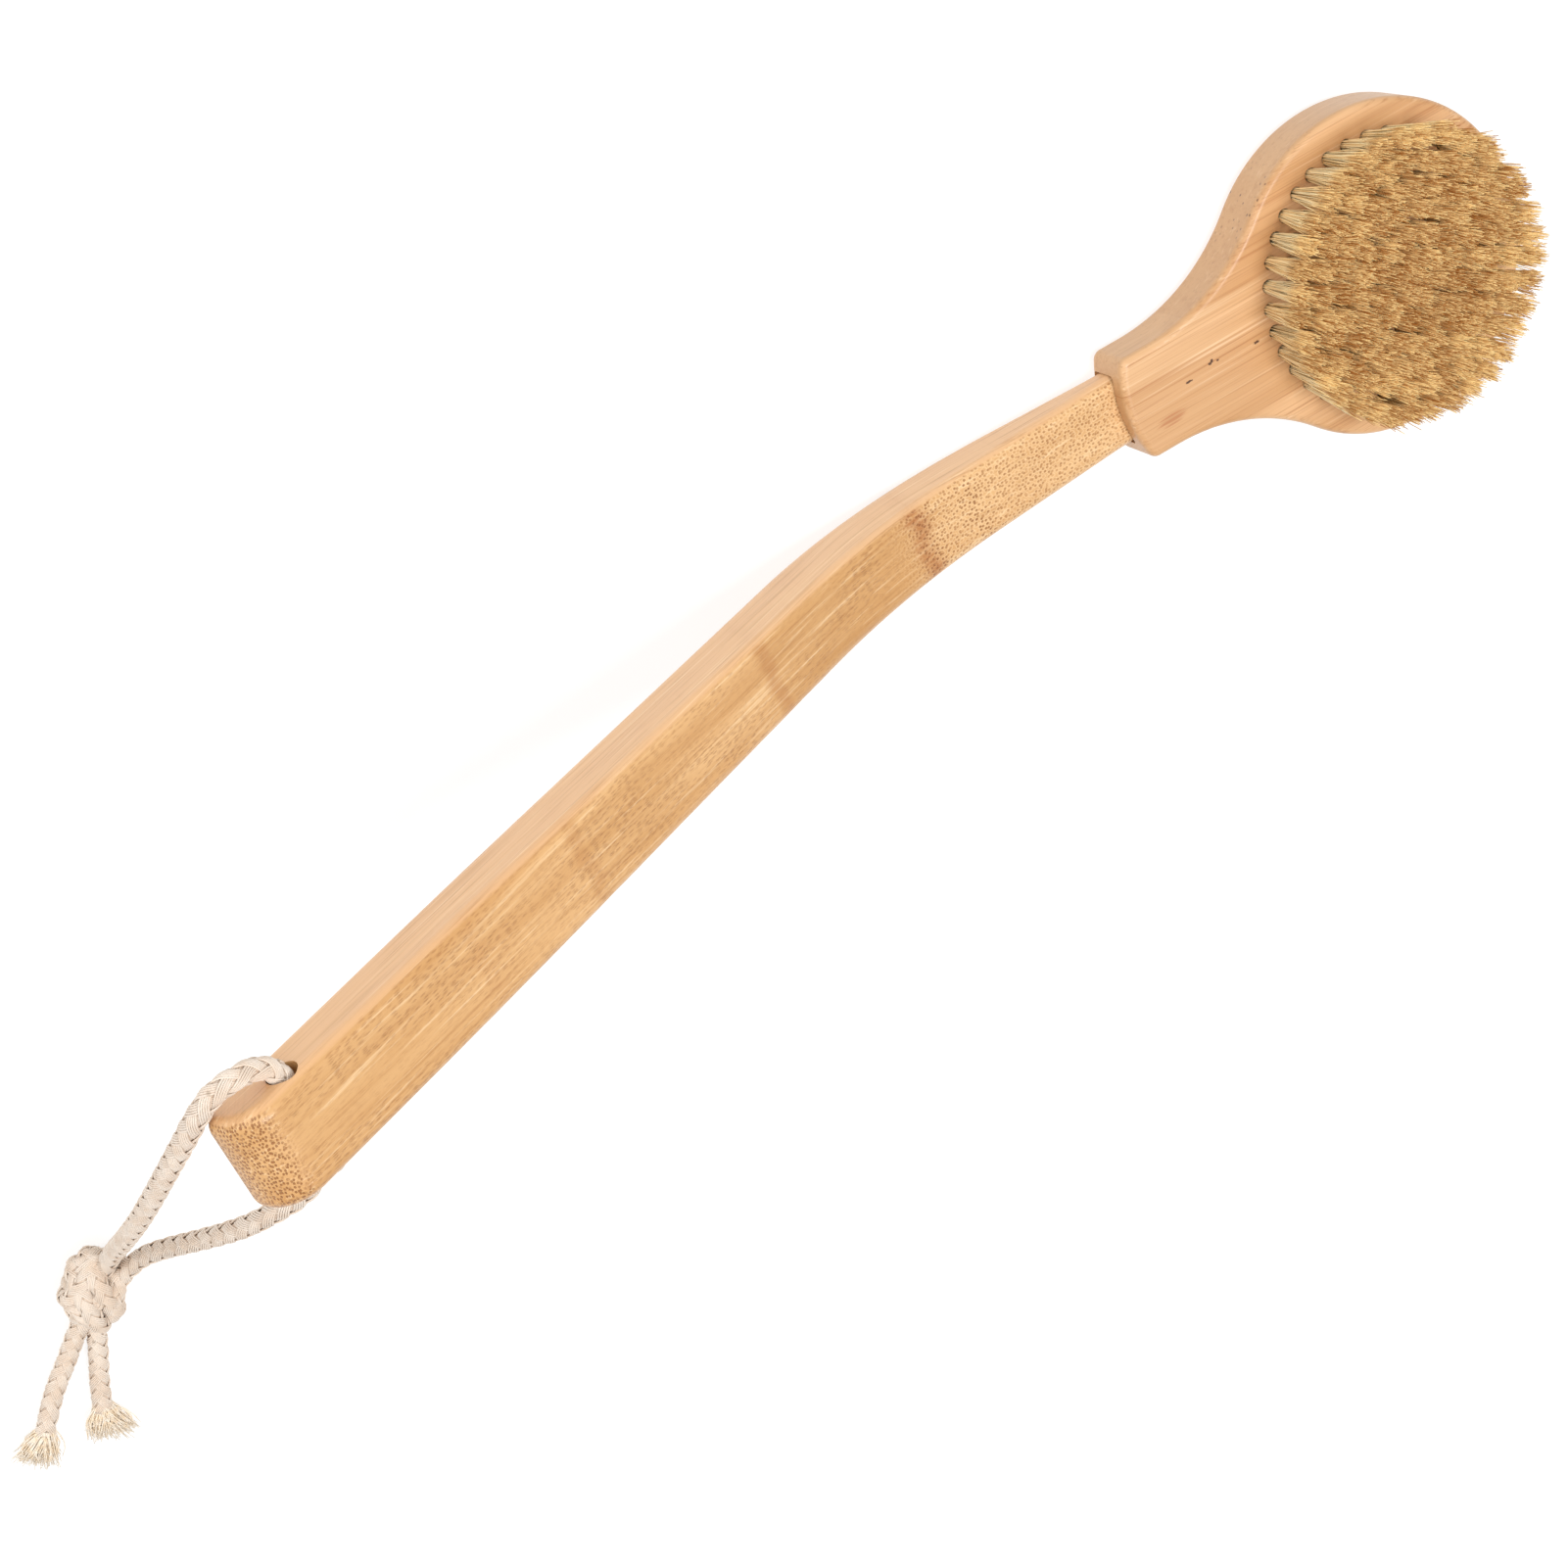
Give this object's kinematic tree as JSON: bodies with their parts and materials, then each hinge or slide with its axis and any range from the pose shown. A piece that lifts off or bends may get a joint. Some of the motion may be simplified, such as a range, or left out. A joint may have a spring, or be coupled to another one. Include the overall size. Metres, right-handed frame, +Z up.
{
  "type": "body dry brush",
  "caption": "Long-handled dry body brush with a round bristle head on a curved bamboo handle and a knotted hanging rope.",
  "frame": {"origin": "centre of the bounding box of the brush without its rope, on the surface that the head's flat back lies on", "axes": "+X from the handle's butt to the head's tip, +Y across the width, +Z up, where the bristles point"},
  "size_m": [0.4547, 0.1421, 0.1092],
  "materials": {
    "bamboo_handle": "semi-gloss clear lacquer on solid bamboo, grain along the handle",
    "bamboo_head": "semi-gloss clear lacquer on laminated bamboo, grain along the handle",
    "rope": "plaited natural cotton, matt",
    "bristle": "natural boar bristle, pale cream with golden tips",
    "anchor_wire": "bare flat wire, hidden under the tufts"
  },
  "bodies": {
    "handle_body": {"handle": "bamboo_handle", "rope_in_hole": "rope", "rope_strand_near": "rope", "rope_strand_far": "rope", "rope_knot": "rope", "rope_tail_near": "rope", "rope_tail_far": "rope", "rope_fray_near": "rope", "rope_fray_far": "rope"},
    "head_body": {"head": "bamboo_head", "tufts_centre": "bristle", "tufts_ring_1": "bristle", "tufts_ring_2": "bristle", "tufts_ring_3": "bristle", "tufts_ring_4": "bristle", "tufts_ring_5": "bristle", "tufts_ring_6": "bristle", "anchors_centre": "anchor_wire", "anchors_ring_1": "anchor_wire", "anchors_ring_2": "anchor_wire", "anchors_ring_3": "anchor_wire", "anchors_ring_4": "anchor_wire", "anchors_ring_5": "anchor_wire", "anchors_ring_6": "anchor_wire"}
  },
  "joints": [
    {"name": "head_pull_off", "type": "slide", "parent": "handle_body", "child": "head_body", "axis": [1, 0, 0], "range_m": [0, 0.035]}
  ]
}
